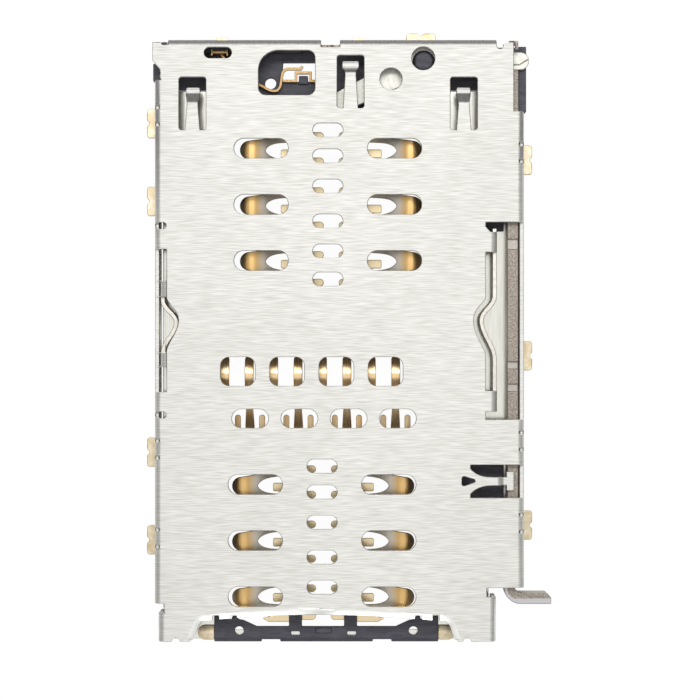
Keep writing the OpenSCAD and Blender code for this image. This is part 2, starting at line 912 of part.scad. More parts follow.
module card_contact_6() {
    card_piece(5);
}

module card_contact_7() {
    card_piece(6);
}

module card_contact_8() {
    card_piece(7);
}

// Tray switch

switch_top = lever_z - 0.08;
spring_path = concat(
    [[-4.74, -0.5], [-4.5, -0.78], [-3.9, -1.2], [-2.97, -1.92]],
    curve([-2.64, -2.1], [-2.46, -2.22], [-2.28, -2.22], 4),
    curve([-2.18, -2.22], [-1.98, -2.16], [-1.95, -1.81], 5),
    curve([-1.9, -1.5], [-1.87, -1.215], [-1.6, -1.215], 5),
    [[-1.05, -1.215], [-0.97, -1.09]]
);

// Root of the spring down through the deck, and its tail to the rear
module detect_spring_tail() {
    span([-4.95, y_rear - 0.56, 0], [-4.4, y_rear + 0.3, contact_t]);
    span([-5.13, y_rear - 0.56, 0], [-4.35, y_rear - 0.44, switch_top + 0.34]);
    for (x = [-5.13, -4.43])
        span([x, y_rear - 0.66, floor_h - 0.1], [x + 0.08, y_rear - 0.36, switch_top + 0.34]);
}

module detect_spring() {
    color(gold) {
        detect_spring_tail();
        translate([0, y_rear, 0])
            slab(floor_h + 0.02, switch_top)
                polygon(strip(spring_path, 0.12));
    }
}

// Strip bent like a hat round the island, its root through the deck and its tail to the rear
module detect_terminal_tail() {
    span([-0.36, y_rear - 1.82, 0], [-0.1, y_rear - 1.7, switch_top - 0.04]);
    span([-0.36, y_rear - 1.96, 0], [1.84, y_rear - 1.72, contact_t]);
    span([1.34, y_rear - 1.96, 0], [1.84, y_rear + 0.3, contact_t]);
}

module detect_terminal() {
    color(gold) {
        detect_terminal_tail();
        translate([0, y_rear, 0])
            slab(floor_h, switch_top - 0.04)
                polygon(strip([
                    [-1.83, -1.76], [-1.27, -1.76], [-1.27, -1.385],
                    [-0.6, -1.385], [-0.6, -1.76], [-0.2, -1.76]
                ], 0.12));
    }
}

// Front anchors

// Rounded clip whose inner end touches the bar at x = 0, pointing to -x
module front_anchor() {
    z = base_t + 0.05;
    path = concat(
        [[0.02, z + 0.14]],
        curve([0.34, z + 0.14], [0.52, z + 0.14], [0.78, z], 6)
    );
    color(gold)
        intersection() {
            translate([-0.4, 0, 0])
                spread(1)
                    polygon(strip(path, 0.1));
            slab(0, 1)
                polygon(concat([[0, 0.1], [0, 0.76]], arc([-0.42, 0.43], 0.33, 90, 270, 12)));
        }
}

module front_anchor_left() {
    translate([bar_x[0], bar_front, 0])
        front_anchor();
}

module front_anchor_right() {
    translate([bar_x[1], bar_front, 0])
        mirror([1, 0, 0])
            front_anchor();
}

// Eject drive

// Arm of the lever from the pivot to a round end
module lever_arm(w, end, r) {
    n = turn(unit(end - pivot));
    slab(lever_z, lever_top)
        polygon([pivot + n * w, end + n * r, end - n * r, pivot - n * w]);
    slab(lever_z, lever_top)
        translate(end)
            circle(r);
}

module eject_lever() {
    color(steel)
        difference() {
            union() {
                slab(lever_z, lever_top)
                    translate(pivot)
                        circle(post_r + 0.25);
                lever_arm(0.62, lever_end, 0.46);
                lever_arm(0.55, lever_tip, tip_r);
            }
            slab(0, cover_h)
                translate(pivot)
                    circle(post_r + running_gap);
            // coined step along the tip
            slab(lever_top - 0.05, cover_h)
                translate(lever_tip)
                    polygon([
                        [-0.47, -0.18], [-0.04, -0.17], [0.17, -0.03],
                        [0.53, 0.16], [0.53, -0.7], [-0.47, -0.7]
                    ]);
        }
}

module push_rod() {
    path = concat(
        [[rod_x, rod_end], [rod_x, y_right_front + 3], [rod_x - 0.15, y_right_front + 2.2]],
        arc([rod_x + 0.35, hook_y + 0.5], 0.5, 180, 270, 8),
        [[x_right + 1.26, hook_y]]
    );
    color(dark_steel)
        difference() {
            slab(rod_low, rod_top)
                difference() {
                    polygon(strip(path, rod_w));
                    translate([x_right + 1.26, hook_y + rod_w / 2])
                        rotate(45)
                            square(0.3, center = true);
                }
            for (s = [[3.21, 3.67], [-2.22, -1.9], [-3.24, -2.92]])
                span([rod_x - 1, leaf_y + s[0], rod_top - 0.1], [rod_x + 1, leaf_y + s[1], rod_top + 1]);
        }
}

cover_shell();
base_plate();
base_housing();
upper_left_contact_1();
upper_left_contact_2();
upper_left_contact_3();
upper_right_contact_1();
upper_right_contact_2();
upper_right_contact_3();
lower_left_contact_1();
lower_left_contact_2();
lower_left_contact_3();
lower_right_contact_1();
lower_right_contact_2();
lower_right_contact_3();
card_contact_1();
card_contact_2();
card_contact_3();
card_contact_4();
card_contact_5();
card_contact_6();
card_contact_7();
card_contact_8();
detect_spring();
detect_terminal();
front_anchor_left();
front_anchor_right();
eject_lever();
push_rod();
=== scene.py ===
# %% [markdown]
# # A tray socket for phone cards
#
# The real object is a few stamped and folded metal parts on one black moulding, barely 28 mm long.
# Its solids come in as a frame that is already in place, in metres. This lesson dresses them:
# every edge is softened as stamping and moulding leave it, and every metal and plastic gets the
# finish that its own way of making gives it.

# %% Load the frame
import math
import bmesh
import bpy
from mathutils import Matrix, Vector
from mathutils.bvhtree import BVHTree


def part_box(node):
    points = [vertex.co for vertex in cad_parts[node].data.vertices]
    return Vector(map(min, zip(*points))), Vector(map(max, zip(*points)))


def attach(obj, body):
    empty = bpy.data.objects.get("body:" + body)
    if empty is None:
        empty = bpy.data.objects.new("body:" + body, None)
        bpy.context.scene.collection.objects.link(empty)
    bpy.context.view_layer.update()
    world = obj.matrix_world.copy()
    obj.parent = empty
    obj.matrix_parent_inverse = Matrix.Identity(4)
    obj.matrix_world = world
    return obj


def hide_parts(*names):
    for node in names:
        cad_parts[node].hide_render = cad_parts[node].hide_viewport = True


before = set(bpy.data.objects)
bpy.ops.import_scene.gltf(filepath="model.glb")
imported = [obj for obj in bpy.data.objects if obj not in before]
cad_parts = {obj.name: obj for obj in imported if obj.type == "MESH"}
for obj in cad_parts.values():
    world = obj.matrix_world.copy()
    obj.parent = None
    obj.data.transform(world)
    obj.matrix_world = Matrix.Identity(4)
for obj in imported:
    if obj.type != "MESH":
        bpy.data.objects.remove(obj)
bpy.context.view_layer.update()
MM = 0.001

# %% [markdown]
# ## The camera
#
# A flat connector is photographed straight from above with a long lens, so that its walls hardly
# show. The frame is square, and its 700 pixels span 31.67 mm at the cover's top face.
# With a 100 mm lens on a 36 mm sensor that puts the camera 88 mm above the cover.

# %% Camera
COVER_TOP = 1.6 * MM
FRAME_WIDTH = 31.67 * MM
FRAME_CENTRE = (1.204 * MM, -0.43 * MM)
LENS, SENSOR = 100, 36
camera_data = bpy.data.cameras.new("overhead_camera")
camera_data.lens = LENS
camera_data.sensor_width = SENSOR
camera_data.clip_start = 0.001
camera_data.clip_end = 10
camera = bpy.data.objects.new("overhead_camera", camera_data)
camera.location = (*FRAME_CENTRE, COVER_TOP + FRAME_WIDTH * LENS / SENSOR)
bpy.context.scene.collection.objects.link(camera)
bpy.context.scene.camera = camera
print("camera height above the cover, mm:", round((camera.location.z - COVER_TOP) / MM, 1))

# %% [markdown]
# ## Colours and nodes
#
# Colours are written as sRGB hex, as they are read off an object, and turned to the linear
# numbers that a shader works in. One small function adds a node with its settings and links,
# so that a material reads as a list of what feeds what.


# %% Helpers for materials
def colour(text):
    channels = [int(text[i:i + 2], 16) / 255 for i in (0, 2, 4)]
    return tuple(c / 12.92 if c <= 0.04045 else ((c + 0.055) / 1.055) ** 2.4 for c in channels) + (1,)


def add(tree, kind, settings=None, links=None):
    node = tree.nodes.new(kind)
    for name, value in (settings or {}).items():
        if isinstance(name, int) or name in node.inputs:
            node.inputs[name].default_value = value
        else:
            setattr(node, name, value)
    for name, source in (links or {}).items():
        tree.links.new(source, node.inputs[name])
    return node


def new_material(name, settings):
    material = bpy.data.materials.new(name)
    material.use_nodes = True
    shader = material.node_tree.nodes["Principled BSDF"]
    for socket, value in settings.items():
        shader.inputs[socket].default_value = value
    return material, material.node_tree, shader


def per_mm(x, y, z):
    return (1 / (x * MM), 1 / (y * MM), 1 / (z * MM))


print("a mid grey in linear light:", round(colour("808080")[0], 3))

# %% [markdown]
# ## Studio
#
# The part lies on white paper under one long soft box, which stands behind its rear end and leans
# 25 degrees off the vertical. Slots in the cover then let a patch of light in and keep a dark
# band along their rear edge. A tent of cloth around it is pale overhead and greyer down its sides:
# metal that lies flat mirrors the pale roof, and metal that slopes turns grey. Two pale panels hang
# to the left and right, for the sprung arms of the contacts, which slope that way.

# %% Soft box
TARGET = Vector((0.7 * MM, 0, 0))
TOWARDS_LIGHT = Vector((0, 0.46, 1)).normalized()
LIGHT_DISTANCE = 0.14
light_data = bpy.data.lights.new("soft_box", "AREA")
light_data.shape = "RECTANGLE"
light_data.size = 0.095
light_data.size_y = 0.033
light_data.energy = 0.07
soft_box = bpy.data.objects.new("soft_box", light_data)
soft_box.location = TARGET + TOWARDS_LIGHT * LIGHT_DISTANCE
soft_box.rotation_euler = TOWARDS_LIGHT.to_track_quat("Z", "Y").to_euler()
bpy.context.scene.collection.objects.link(soft_box)
print("soft box leans", round(math.degrees(math.acos(TOWARDS_LIGHT.z))), "degrees")

# %% Light tent
world = bpy.data.worlds.new("light_tent")
bpy.context.scene.world = world
world.use_nodes = True
tree = world.node_tree
where = add(tree, "ShaderNodeTexCoord")
direction = add(tree, "ShaderNodeSeparateXYZ", links={0: where.outputs["Generated"]})
cloth = add(tree, "ShaderNodeValToRGB", links={"Fac": direction.outputs["Z"]})
tones = cloth.color_ramp.elements
tones[0].position, tones[0].color = 0, (0.3, 0.3, 0.3, 1)
tones[1].position, tones[1].color = 0.96, (0.9, 0.9, 0.9, 1)
for position, tone in ((0.36, 0.24), (0.56, 0.46), (0.8, 0.46)):
    tones.new(position).color = (tone, tone, tone, 1)
sideways = add(tree, "ShaderNodeMath", {"operation": "ABSOLUTE"}, {0: direction.outputs["X"]})
panel = add(tree, "ShaderNodeMapRange", {"From Min": 0.5, "From Max": 0.7, "To Max": 0.35}, {
    "Value": sideways.outputs[0]})
hung = add(tree, "ShaderNodeMapRange", {"From Min": 0.3, "From Max": 0.5}, {"Value": direction.outputs["Z"]})
panels = add(tree, "ShaderNodeMath", {"operation": "MULTIPLY"}, {0: panel.outputs[0], 1: hung.outputs[0]})
tent = add(tree, "ShaderNodeMath", {"operation": "ADD"}, {0: cloth.outputs["Color"], 1: panels.outputs[0]})
tree.nodes["Background"].inputs["Color"].default_value = (1, 1, 1, 1)
tree.links.new(tent.outputs[0], tree.nodes["Background"].inputs["Strength"])
bpy.context.scene.view_settings.view_transform = "Standard"
print("tent tones:", len(tones))

# %% [markdown]
# The paper shows white to the camera, and fairly white in metal and through glass, while other
# rays meet it as plain lit paper. A small diffuse share keeps the shadow of the part on it.

# %% White paper
PAPER_REACH = 0.3
WHITE_IN_METAL = 0.45
bm = bmesh.new()
bmesh.ops.create_grid(bm, x_segments=1, y_segments=1, size=PAPER_REACH)
mesh = bpy.data.meshes.new("paper")
bm.to_mesh(mesh)
bm.free()
paper = bpy.data.objects.new("paper", mesh)
bpy.context.scene.collection.objects.link(paper)
material = bpy.data.materials.new("white_paper")
material.use_nodes = True
tree = material.node_tree
tree.nodes.clear()
ray = add(tree, "ShaderNodeLightPath")
metal_or_glass = add(tree, "ShaderNodeMath", {"operation": "MAXIMUM"}, {
    0: ray.outputs["Is Glossy Ray"], 1: ray.outputs["Is Transmission Ray"]})
dimmed = add(tree, "ShaderNodeMath", {"operation": "MULTIPLY", 1: WHITE_IN_METAL}, {
    0: metal_or_glass.outputs[0]})
shown = add(tree, "ShaderNodeMath", {"operation": "MAXIMUM"}, {
    0: ray.outputs["Is Camera Ray"], 1: dimmed.outputs[0]})
white = add(tree, "ShaderNodeEmission", {"Color": (1, 1, 1, 1), "Strength": 0.96})
shadow = add(tree, "ShaderNodeBsdfDiffuse", {"Color": (0.07, 0.07, 0.07, 1)})
seen = add(tree, "ShaderNodeAddShader", links={0: white.outputs[0], 1: shadow.outputs[0]})
lit = add(tree, "ShaderNodeBsdfDiffuse", {"Color": (0.75, 0.75, 0.75, 1)})
mixed = add(tree, "ShaderNodeMixShader", links={0: shown.outputs[0], 1: lit.outputs[0], 2: seen.outputs[0]})
add(tree, "ShaderNodeOutputMaterial", links={"Surface": mixed.outputs[0]})
mesh.materials.append(material)
print("paper is", 2 * PAPER_REACH, "m wide")

# %% [markdown]
# ## Softening an edge
#
# A solid from CAD has edges of no width, which catch no light. Stamping rolls the edge of a sheet
# over by a few hundredths of a millimetre, and a mould has the same small radius. A copy of each
# solid is merged and its sharp edges are bevelled. Its triangles stay: a plate with fifty openings
# makes one huge polygon, and a bevel can fold that polygon over itself. Where two nearly parallel
# edges meet, bevel can throw a corner far out, so such a corner is put back on the solid's own
# surface. Faces square to an axis then get their corners back on their own plane, and no corner
# leaves the solid's own box.

# %% Rounded edges
SAME_PLACE = 2e-7
SHARP_ANGLE = 48
SQUARE_TO_AXIS = 0.99999
THROWN_OUT = 0.75


def merged(node):
    bm = bmesh.new()
    bm.from_mesh(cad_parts[node].data)
    bmesh.ops.remove_doubles(bm, verts=bm.verts, dist=SAME_PLACE)
    return bm


def softened(bm, node, width, sharp=SHARP_ANGLE):
    solid = BVHTree.FromBMesh(bm)
    number = bm.faces.layers.int.new("plane")
    planes = []
    for face in bm.faces:
        planes.append((face.normal.copy(), face.normal.dot(face.verts[0].co)))
        face[number] = len(planes) if max(abs(c) for c in face.normal) > SQUARE_TO_AXIS else 0
    edges = [e for e in bm.edges if e.calc_face_angle(0) > math.radians(sharp)]
    rounded = bmesh.ops.bevel(bm, geom=edges, offset=width, offset_type="OFFSET", segments=2,
                              profile=0.5, affect="EDGES", clamp_overlap=False, material=-1)
    for vert in bm.verts:
        place, _, _, distance = solid.find_nearest(vert.co)
        if distance > THROWN_OUT * width:
            vert.co = place
    low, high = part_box(node)
    made_by_bevel = set(rounded["faces"])
    for face in bm.faces:
        if face in made_by_bevel or not face[number]:
            continue
        normal, level = planes[face[number] - 1]
        for vert in face.verts:
            vert.co -= normal * (normal.dot(vert.co) - level)
    for vert in bm.verts:
        vert.co = [min(max(c, a), b) for c, a, b in zip(vert.co, low, high)]
    bm.normal_update()
    return bm


print("edges are rounded past, degrees:", SHARP_ANGLE)

# %% [markdown]
# Shading follows the same idea. A flat face keeps one normal to its very corners, and the rounded
# edge beside it borrows that normal, so no crease or streak runs across polished metal. Elsewhere
# a corner takes the mean of its faces, the large ones counting more.

# %% Normals of the corners
FLAT_FACE = 0.9999
SAME_SIDE = 0.67
OWN_SHARE = 0.01


def corner_normals(bm):
    flat = {f for f in bm.faces if max(abs(c) for c in f.normal) > FLAT_FACE}
    weighed = {f: f.normal * f.calc_area() for f in bm.faces}
    normals = []
    for face in bm.faces:
        for vert in face.verts:
            near = [f for f in vert.link_faces if f.normal.dot(face.normal) > SAME_SIDE]
            level = [f.normal for f in near if f in flat]
            if face in flat:
                normal = face.normal
            elif level:
                normal = max(level, key=face.normal.dot)
            else:
                normal = sum((weighed[f] for f in near), weighed[face] * OWN_SHARE)
            normals.append(normal.normalized() if normal.length > 0 else Vector((0, 0, 1)))
    return normals


print("faces share their shading up to, degrees:", round(math.degrees(math.acos(SAME_SIDE))))

# %% [markdown]
# A finished piece takes the place of its solid: it rides on the same body, and the solid is
# hidden.


# %% Finished pieces
def dress(bm, name, node, body, materials):
    mesh = bpy.data.meshes.new(name)
    for face in bm.faces:
        face.smooth = True
    normals = corner_normals(bm)
    bm.to_mesh(mesh)
    bm.free()
    mesh.normals_split_custom_set(normals)
    for material in materials:
        mesh.materials.append(material)
    piece = bpy.data.objects.new(name, mesh)
    bpy.context.scene.collection.objects.link(piece)
    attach(piece, body)
    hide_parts(node)
    return piece


print("solids to dress:", len(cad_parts))

# %% [markdown]
# ## Cut edges of steel
#
# Where a punch went through the sheet, the edge is half smooth and half torn, and the bare steel
# is warmer than the plating. Torn edges rim every opening of the cover, and they show on the stubs
# that held the cover in its strip. One noise, used for tone and for relief, makes the torn grain.
# Its dark tone is partly painted shade: the shadow lines along the rims of the openings.

# %% Torn steel
# Torn edge: tan and grey grains side by side, rough, with small dark pits; the dark tone is partly
# painted shade along the rims.
torn, tree, shader = new_material("stainless_steel_torn_edge_painted_shade", {"Metallic": 1, "Roughness": 0.6})
where = add(tree, "ShaderNodeTexCoord")
# Torn grains are near 0.02 mm; they are drawn larger so that they show.
TORN_GRAIN = 0.1
grit = add(tree, "ShaderNodeTexNoise", {"Scale": 1 / (TORN_GRAIN * MM), "Detail": 3}, {
    "Vector": where.outputs["Object"]})
tint = add(tree, "ShaderNodeValToRGB", links={"Fac": grit.outputs["Fac"]})
tint.color_ramp.elements[0].position, tint.color_ramp.elements[0].color = 0.36, colour("4f443c")
tint.color_ramp.elements[1].position, tint.color_ramp.elements[1].color = 0.62, colour("c4b9ac")
tree.links.new(tint.outputs["Color"], shader.inputs["Base Color"])
ridges = add(tree, "ShaderNodeBump", {"Strength": 0.7, "Distance": 8e-6}, {"Height": grit.outputs["Fac"]})
tree.links.new(ridges.outputs[0], shader.inputs["Normal"])
print("grain drawn at, mm:", TORN_GRAIN)

# %% [markdown]
# ## Cover: nickel-plated stainless sheet, brushed across
#
# The strip is brushed on a roll before it is stamped, so fine lines run straight across the cover
# from side to side. The lines spread light along the cover's length and hardly across it. That is
# what the shader's anisotropy does, along a UV map that follows the sheet round its folds.
# Thin streaks in tone and relief are drawn from one stretched noise.

# %% Brushed nickel
# Plated steel: a warm, pale grey mirror broken up by the brush into fine soft streaks.
brushed, tree, shader = new_material("nickel_plated_steel_brushed", {
    "Metallic": 1, "Roughness": 0.6, "Anisotropic": 0.75})
grain = add(tree, "ShaderNodeTangent", {"direction_type": "UV_MAP", "uv_map": "grain"})
tree.links.new(grain.outputs[0], shader.inputs["Tangent"])
where = add(tree, "ShaderNodeTexCoord")
# A brush line is about 0.02 mm wide; it is drawn a little wider so that it shows.
BRUSH_WIDTH, BRUSH_LENGTH = 0.028, 0.7
along = add(tree, "ShaderNodeMapping", {"Scale": per_mm(BRUSH_LENGTH, BRUSH_WIDTH, BRUSH_LENGTH)}, {
    "Vector": where.outputs["Object"]})
lines = add(tree, "ShaderNodeTexNoise", {"Scale": 1, "Detail": 0}, {"Vector": along.outputs[0]})
# Cloudy patches, left by the plating bath.
PATCH_WIDTH, PATCH_SHARE = 4, 0.15
patches = add(tree, "ShaderNodeTexNoise", {"Scale": 1 / (PATCH_WIDTH * MM), "Detail": 2}, {
    "Vector": where.outputs["Object"]})
tone = add(tree, "ShaderNodeMix", {"data_type": "FLOAT", 0: PATCH_SHARE}, {
    2: lines.outputs["Fac"], 3: patches.outputs["Fac"]})
tint = add(tree, "ShaderNodeValToRGB", links={"Fac": tone.outputs[0]})
tint.color_ramp.elements[0].position, tint.color_ramp.elements[0].color = 0.25, colour("dad9d2")
tint.color_ramp.elements[1].position, tint.color_ramp.elements[1].color = 0.75, colour("f9f8f4")
tree.links.new(tint.outputs["Color"], shader.inputs["Base Color"])
ridges = add(tree, "ShaderNodeBump", {"Strength": 0.5, "Distance": 2e-6}, {"Height": lines.outputs["Fac"]})
tree.links.new(ridges.outputs[0], shader.inputs["Normal"])
print("brush lines drawn at, mm:", BRUSH_WIDTH)

# %% [markdown]
# The rear fold is the tightest one: the press rubs its brush lines out and leaves a dull band,
# whose grey is painted shade where the sheet turns away from the pale roof. The slopes of the
# spring tongues are rubbed and painted grey in the same way.

# %% Dull fold with painted shade
# Nickel rubbed by the bending press: soft, with faint scuffs across the fold; its mid grey is
# painted shade.
rubbed_painted_grey, tree, shader = new_material("nickel_plated_steel_rubbed_painted_shade", {"Metallic": 1, "Roughness": 0.5})
where = add(tree, "ShaderNodeTexCoord")
SCUFF_WIDTH, SCUFF_LENGTH = 0.08, 0.5
along = add(tree, "ShaderNodeMapping", {"Scale": per_mm(SCUFF_WIDTH, SCUFF_LENGTH, SCUFF_LENGTH)}, {
    "Vector": where.outputs["Object"]})
scuffs = add(tree, "ShaderNodeTexNoise", {"Scale": 1, "Detail": 3}, {"Vector": along.outputs[0]})
tint = add(tree, "ShaderNodeValToRGB", links={"Fac": scuffs.outputs["Fac"]})
tint.color_ramp.elements[0].position, tint.color_ramp.elements[0].color = 0.3, colour("a09e9d")
tint.color_ramp.elements[1].position, tint.color_ramp.elements[1].color = 0.7, colour("b7b5b2")
tree.links.new(tint.outputs["Color"], shader.inputs["Base Color"])
print("scuffs drawn at, mm:", SCUFF_WIDTH)

# %% [markdown]
# The solder tabs keep a thin gold flash, which looks cream on nickel. They are the faces of the
# sheet that stand outside its walls.

# %% Gold flash on the solder tabs
# A flash of gold over nickel: pale cream, soft, with faint cloudy stains from the bath.
flash, tree, shader = new_material("nickel_with_gold_flash", {"Metallic": 1, "Roughness": 0.5})
where = add(tree, "ShaderNodeTexCoord")
STAIN_WIDTH = 0.3
stain = add(tree, "ShaderNodeTexNoise", {"Scale": 1 / (STAIN_WIDTH * MM), "Detail": 3}, {
    "Vector": where.outputs["Object"]})
tint = add(tree, "ShaderNodeValToRGB", links={"Fac": stain.outputs["Fac"]})
tint.color_ramp.elements[0].position, tint.color_ramp.elements[0].color = 0.35, colour("decba6")
tint.color_ramp.elements[1].position, tint.color_ramp.elements[1].color = 0.7, colour("f4e9d1")
tree.links.new(tint.outputs["Color"], shader.inputs["Base Color"])
ridges = add(tree, "ShaderNodeBump", {"Strength": 0.3, "Distance": 3e-6}, {"Height": stain.outputs["Fac"]})
tree.links.new(ridges.outputs[0], shader.inputs["Normal"])
print("gold flash stains, mm:", STAIN_WIDTH)

# %% [markdown]
# The two detent leaves stand on edge, so one looks down on their cut edge. The punch smears the
# plating over it: nearly as pale as the plate, with a fine grain instead of brush lines.

# %% Cut edge of the leaves
# Plated steel smeared by the punch: pale warm grey, softly mottled.
smeared, tree, shader = new_material("nickel_plated_steel_punched", {"Metallic": 1, "Roughness": 0.45})
where = add(tree, "ShaderNodeTexCoord")
# Its grains are near 0.02 mm; they are drawn larger so that they show.
SMEAR_GRAIN = 0.09
mottle = add(tree, "ShaderNodeTexNoise", {"Scale": 1 / (SMEAR_GRAIN * MM), "Detail": 2}, {
    "Vector": where.outputs["Object"]})
tint = add(tree, "ShaderNodeValToRGB", links={"Fac": mottle.outputs["Fac"]})
tint.color_ramp.elements[0].position, tint.color_ramp.elements[0].color = 0.35, colour("d6d0c6")
tint.color_ramp.elements[1].position, tint.color_ramp.elements[1].color = 0.65, colour("ebe7de")
tree.links.new(tint.outputs["Color"], shader.inputs["Base Color"])
print("mottling drawn at, mm:", SMEAR_GRAIN)

# %% [markdown]
# The lip over the mouth is pressed up so that a tray finds its way in, and the die burnishes it
# together with the rim of the mouth. Their near-white tone is a painted highlight.

# %% Burnished nickel with a painted highlight
# Nickel burnished by the die: smoother than the brushed plate, faintly cloudy.
# Its near-white tone is a painted highlight.
burnished_painted_highlight, tree, shader = new_material("nickel_plated_steel_burnished_painted_highlight", {"Metallic": 1, "Roughness": 0.36})
where = add(tree, "ShaderNodeTexCoord")
CLOUD_WIDTH = 0.5
cloud = add(tree, "ShaderNodeTexNoise", {"Scale": 1 / (CLOUD_WIDTH * MM), "Detail": 2}, {
    "Vector": where.outputs["Object"]})
tint = add(tree, "ShaderNodeValToRGB", links={"Fac": cloud.outputs["Fac"]})
tint.color_ramp.elements[0].position, tint.color_ramp.elements[0].color = 0.3, colour("f0f0ec")
tint.color_ramp.elements[1].position, tint.color_ramp.elements[1].color = 0.7, colour("fcfcf8")
tree.links.new(tint.outputs["Color"], shader.inputs["Base Color"])
print("clouds of the burnished lip, mm:", CLOUD_WIDTH)

# %% [markdown]
# In the frame the lip is a step. Here the rear edge of that step goes down to the plate, and the lip
# becomes a ramp that rises to the mouth. That rear edge is found by its own foot: a corner straight
# below it, on the plate. A corner between the two edges goes down by its share.

# %% Pressed lip
LIP_WIDTH, LIP_RISE = 0.26 * MM, 0.09 * MM
APART, TOUCHING, DIGITS = 1e-5, 1e-6, 6


def place_in_plan(vert):
    return round(vert.co.x, DIGITS), round(vert.co.y, DIGITS)


def press_lip(bm):
    high = [v for v in bm.verts if v.co.z > COVER_TOP + APART]
    feet = {place_in_plan(v) for v in bm.verts if abs(v.co.z - COVER_TOP) < TOUCHING}
    rear = [v.co.to_2d() for v in high if place_in_plan(v) in feet]
    rear.sort(key=lambda p: (p.x, -p.y))
    rear = [p for i, p in enumerate(rear) if i == 0 or p.x - rear[i - 1].x > APART]
    for vert in high:
        reach = []
        for a, b in zip(rear, rear[1:]):
            share = min(max((vert.co.to_2d() - a).dot(b - a) / (b - a).length_squared, 0), 1)
            reach.append((a.lerp(b, share) - vert.co.to_2d()).length)
        vert.co.z = COVER_TOP + LIP_RISE * min(min(reach) / LIP_WIDTH, 1)
    bmesh.ops.remove_doubles(bm, verts=bm.verts, dist=SAME_PLACE)
    bm.normal_update()
    return len(rear)


print("lip rises, degrees:", round(math.degrees(math.atan(LIP_RISE / LIP_WIDTH))))

# %% [markdown]
# One solid carries six finishes, so each face of the cover picks its own by where it lies and which
# way it faces. Places are spans in millimetres on the part, and a slant is how far a face's normal
# points up, from -1 to 1.

# %% Places on the cover
COVER_FINISHES = [brushed, flash, torn, rubbed_painted_grey, burnished_painted_highlight, smeared]
BRUSHED, FLASH, TORN_WITH_PAINTED_SHADE, RUBBED_PAINTED_GREY, BURNISHED_PAINTED_HIGHLIGHT, SMEARED = range(len(COVER_FINISHES))
FACING_UP = 0.6
# Solder tabs stand outside the walls, down at the board.
WALL_LEFT, WALL_RIGHT, WALL_REAR = -7.66, 9.11, 13.65
TAB_TOP = 0.35
# Detent leaves stand in the side openings, lower than the plate.
LEFT_LEAF_X, RIGHT_LEAF_X = (-7.42, -6.4), (6.6, 8.3)
LEAF_Y, LEAF_TOP = (-4, 6), 1.32
# Stubs of the strip stick out at the rear edge and at its right corner.
REAR_STUB_X, CORNER_STUB_X = (-0.2, 0.8), 8.3
STUB_FRONT, STUB_Z = 13.1, (0.4, 1.56)
# Rims of the openings are the rounded upper edges of the plate.
RIM_X, RIM_Y, RIM_Z = (-7.3, 8.75), (-12.05, 13.3), (1.56, 1.605)
RIM_SLANT = (-0.2, FACING_UP)
# Spring tongues slope down at the rear, in front of the rear fold.
TONGUE_Y, TONGUE_Z = (8, 13.2), (1.2, 1.59)
TONGUE_SLANT = (0.5, 0.97)
FOLD_RIGHT, FOLD_FRONT, FACING_REAR = 8.1, 13.37, 0.1
# The mouth has its lip above the plate and its own rim below that.
MOUTH_X, MOUTH_REAR, MOUTH_LOW = (-6.9, 8.2), RIM_Y[0], 1.4
MOUTH_SLANT = (-0.5, 0.7)
print("finishes of the cover:", len(COVER_FINISHES))


# %% Finishes of the cover
def between(value, span):
    return span[0] < value < span[1]


def finish_of(face):
    x, y, z = face.calc_center_median() / MM
    up = face.normal.z
    outside = x < WALL_LEFT or x > WALL_RIGHT or y > WALL_REAR
    if outside and z < TAB_TOP:
        return FLASH
    on_leaf = between(y, LEAF_Y) and (between(x, LEFT_LEAF_X) or between(x, RIGHT_LEAF_X))
    if on_leaf and z < LEAF_TOP and up > FACING_UP:
        return SMEARED
    on_stub = y > STUB_FRONT and (between(x, REAR_STUB_X) or x > CORNER_STUB_X)
    if on_stub and between(z, STUB_Z) and up > FACING_UP:
        return TORN_WITH_PAINTED_SHADE
    # Rims of the openings take the torn edge, whose dark tone is partly painted shade.
    on_rim = between(x, RIM_X) and between(y, RIM_Y) and between(z, RIM_Z)
    if on_rim and between(up, RIM_SLANT):
        return TORN_WITH_PAINTED_SHADE
    # Tongue slopes and the rear fold take the grey with painted shade.
    on_tongue = between(y, TONGUE_Y) and between(z, TONGUE_Z) and between(up, TONGUE_SLANT)
    on_fold = y > FOLD_FRONT and x < FOLD_RIGHT and face.normal.y > FACING_REAR
    if on_tongue or on_fold:
        return RUBBED_PAINTED_GREY
    # The lip and the rim of the mouth take the burnished nickel, painted near white as a highlight.
    on_mouth = between(x, MOUTH_X) and y < MOUTH_REAR
    if on_mouth and (z > RIM_Z[1] or z > MOUTH_LOW and between(up, MOUTH_SLANT)):
        return BURNISHED_PAINTED_HIGHLIGHT
    return BRUSHED


print("a burnished rim lies in front of y, mm:", MOUTH_REAR)

# %% [markdown]
# The grain's UV map has the brush lines along V on every side: across the plate on top, across the
# rear wall, and up the side walls, as they ran before the sheet was folded.

# %% Cover piece
STEEP = 0.7
COVER_EDGE = 0.038 * MM


def lay_grain(bm):
    layer = bm.loops.layers.uv.new("grain")
    for face in bm.faces:
        to_rear, to_side = abs(face.normal.y) > STEEP, abs(face.normal.x) > STEEP
        for loop in face.loops:
            x, y, z = loop.vert.co / MM
            loop[layer].uv = (z, x) if to_rear else (y, z) if to_side else (y, x)


bm = merged("cover_shell")
print("corners along the rear of the lip:", press_lip(bm))
bm = softened(bm, "cover_shell", COVER_EDGE)
lay_grain(bm)
for face in bm.faces:
    face.material_index = finish_of(face)
cover = dress(bm, "cover", "cover_shell", "socket", COVER_FINISHES)
print("cover faces:", len(cover.data.polygons))

